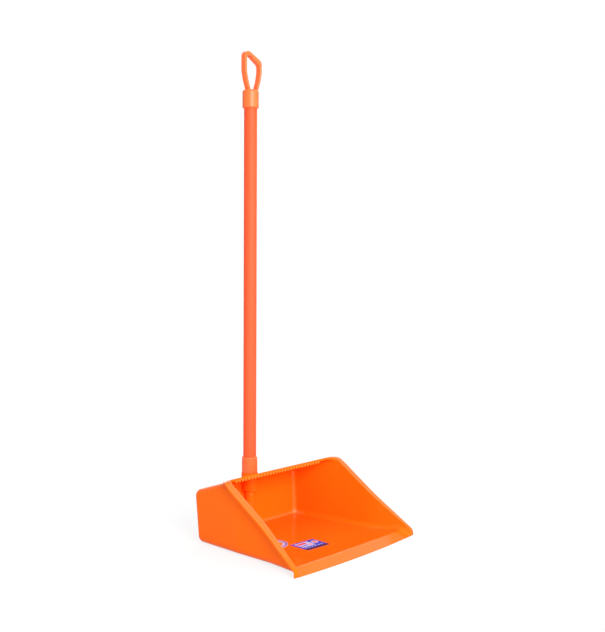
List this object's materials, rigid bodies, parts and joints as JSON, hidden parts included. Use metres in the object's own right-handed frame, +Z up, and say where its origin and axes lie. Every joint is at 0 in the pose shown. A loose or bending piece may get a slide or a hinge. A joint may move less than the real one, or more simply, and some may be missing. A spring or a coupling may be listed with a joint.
{
  "type": "long-handled dustpan",
  "caption": "Upright orange plastic dustpan: deep hooded pan with a comb edge, broad rim and crowned lip, on a long coated pole that screws into a rear socket and ends in a hanging loop.",
  "frame": {"origin": "on the ground under the middle of the box round the whole object", "axes": "+Z up along the pole, -Y out of the mouth of the pan, +X to the right when looking along +Y into the mouth"},
  "size_m": [0.2992, 0.2554, 0.8021],
  "materials": {
    "pan_plastic": "glossy moulded polypropylene, orange",
    "trim_plastic": "satin moulded polypropylene, lighter orange",
    "coat_plastic": "smooth plastic coat, red orange",
    "tube_steel": "bare rolled steel",
    "label_film": "printed film, bare of words",
    "round_label_film": "printed film, bare of words"
  },
  "bodies": {
    "pan": {"pan": "pan_plastic", "floor_label": "label_film", "round_label": "round_label_film"},
    "pole_core": {"pole_tube": "tube_steel"},
    "pole": {"pole_coat": "coat_plastic", "threaded_ferrule": "trim_plastic", "hanger_cap": "trim_plastic"}
  },
  "joints": [
    {"name": "pole_rise", "type": "slide", "parent": "pan", "child": "pole_core", "axis": [0, 0, 1], "range_m": [0, 0.02]},
    {"name": "pole_turn", "type": "hinge", "parent": "pole_core", "child": "pole", "pos_m": [0, 0.1137, 0.0954], "axis": [0, 0, 1], "range_deg": [0, 1440]}
  ],
  "couplings": [
    {"joint": "pole_turn", "follows": "pole_rise", "rad_per_m": 1256.6}
  ]
}
